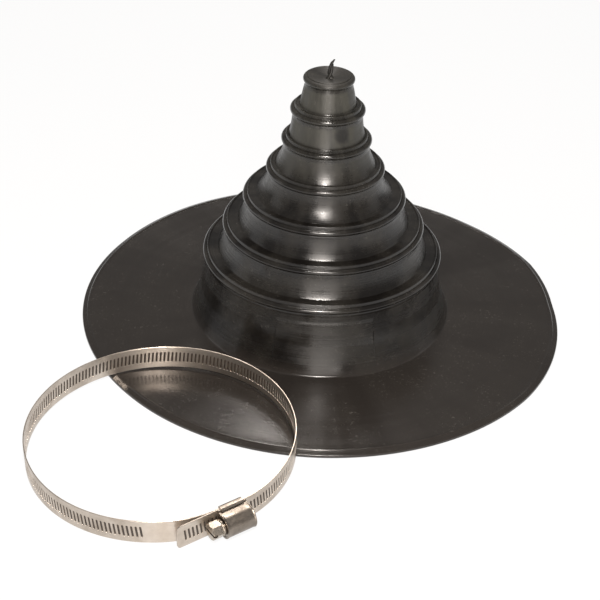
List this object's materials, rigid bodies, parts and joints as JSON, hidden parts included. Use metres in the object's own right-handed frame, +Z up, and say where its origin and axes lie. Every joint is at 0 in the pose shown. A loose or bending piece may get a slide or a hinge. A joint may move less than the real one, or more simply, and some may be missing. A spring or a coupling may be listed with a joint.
{
  "type": "pipe flashing boot",
  "caption": "Stepped conical rubber pipe boot with a closed top and a wide round flange, with its worm-drive clamp lying loose beside it.",
  "frame": {"origin": "middle of the underside of the flange, on the axis of the cone", "axes": "+Z up the cone's axis; -Y towards the side with the collar's blank panel; the clamp lies on the -X, -Y side"},
  "size_m": [0.3386, 0.4132, 0.1878],
  "materials": {
    "boot_rubber": "moulded black EPDM rubber, satin with soft gloss",
    "band_steel": "rolled stainless strip, bright",
    "saddle_steel": "pressed stainless sheet",
    "housing_steel": "pressed stainless sheet, polished",
    "screw_steel": "zinc-plated steel"
  },
  "bodies": {
    "boot_and_clamp": {"boot": "boot_rubber", "clamp_band": "band_steel", "clamp_saddle": "saddle_steel", "clamp_housing": "housing_steel"},
    "screw": {"clamp_screw": "screw_steel"}
  },
  "joints": [
    {"name": "screw_turn", "type": "hinge", "parent": "boot_and_clamp", "child": "screw", "pos_m": [-0.04462, -0.23276, 0.00916], "axis": [0.819, 0.5733, 0.0258], "continuous": true}
  ]
}
